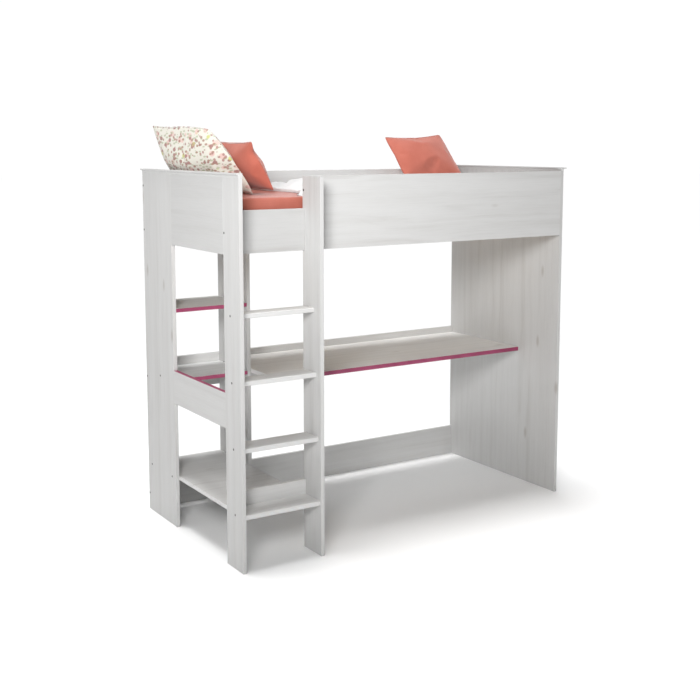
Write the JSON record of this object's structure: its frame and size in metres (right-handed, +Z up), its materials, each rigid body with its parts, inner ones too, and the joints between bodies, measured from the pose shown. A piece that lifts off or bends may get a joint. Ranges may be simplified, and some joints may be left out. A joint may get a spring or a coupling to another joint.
{
  "type": "loft bed",
  "caption": "High sleeper bed in white-washed pine effect with a ladder, a narrow bookcase, a desk beneath and a made-up mattress with pillows",
  "frame": {"origin": "On the floor, at the middle of the bed's length and depth", "axes": "+X along the bed towards the end away from the ladder, +Y back from the ladder to the rear, +Z up"},
  "size_m": [2.082, 1.11, 2.0481],
  "materials": {
    "pine_board": "white-washed pine grain, matt",
    "edge_band": "plum edge banding, satin",
    "slat_wood": "bare pine, planed",
    "bolt_metal": "dark bronze, satin",
    "zinc_metal": "zinc plated",
    "dowel_wood": "bare beech",
    "mattress_ticking": "woven ticking",
    "terracotta_cotton": "plain cotton",
    "white_cotton": "plain cotton",
    "leaf_print_cotton": "printed cotton"
  },
  "bodies": {
    "root": {"left_front_upright": "pine_board", "left_rear_upright": "pine_board", "headboard_panel": "pine_board", "left_mid_rail": "pine_board", "right_end_panel": "pine_board", "front_guard_panel": "pine_board", "entry_rail": "pine_board", "rear_guard_panel": "pine_board", "rear_mid_rail": "pine_board", "rear_plinth": "pine_board", "ladder_right_stile": "pine_board", "ladder_step_1": "pine_board", "ladder_step_2": "pine_board", "ladder_step_3": "pine_board", "ladder_step_4": "pine_board", "divider_panel": "pine_board", "book_shelf": "pine_board", "bay_shelf": "pine_board", "bottom_shelf": "pine_board", "bottom_shelf_lip": "pine_board", "desk_top": "pine_board", "left_end_cap": "pine_board", "right_end_cap": "pine_board", "book_shelf_edge_band": "edge_band", "bay_shelf_edge_band": "edge_band", "desk_edge_band": "edge_band", "left_mid_rail_edge_band": "edge_band", "front_slat_ledge": "slat_wood", "rear_slat_ledge": "slat_wood", "slat_01": "slat_wood", "slat_02": "slat_wood", "slat_03": "slat_wood", "slat_04": "slat_wood", "slat_05": "slat_wood", "slat_06": "slat_wood", "slat_07": "slat_wood", "slat_08": "slat_wood", "slat_09": "slat_wood", "slat_10": "slat_wood", "slat_11": "slat_wood", "slat_12": "slat_wood", "slat_13": "slat_wood", "slat_14": "slat_wood", "left_end_bolts": "bolt_metal", "right_end_bolts": "bolt_metal", "ladder_bolts": "bolt_metal", "divider_bolts": "bolt_metal", "wood_dowels": "dowel_wood", "cam_locks": "zinc_metal", "cam_bolts": "zinc_metal", "shelf_pins": "zinc_metal", "ledge_screws": "zinc_metal", "slat_screws": "zinc_metal", "mattress": "mattress_ticking", "fitted_sheet": "terracotta_cotton", "plain_pillow": "terracotta_cotton", "plain_cushion": "terracotta_cotton", "duvet": "white_cotton", "patterned_pillow": "leaf_print_cotton"}
  },
  "joints": []
}
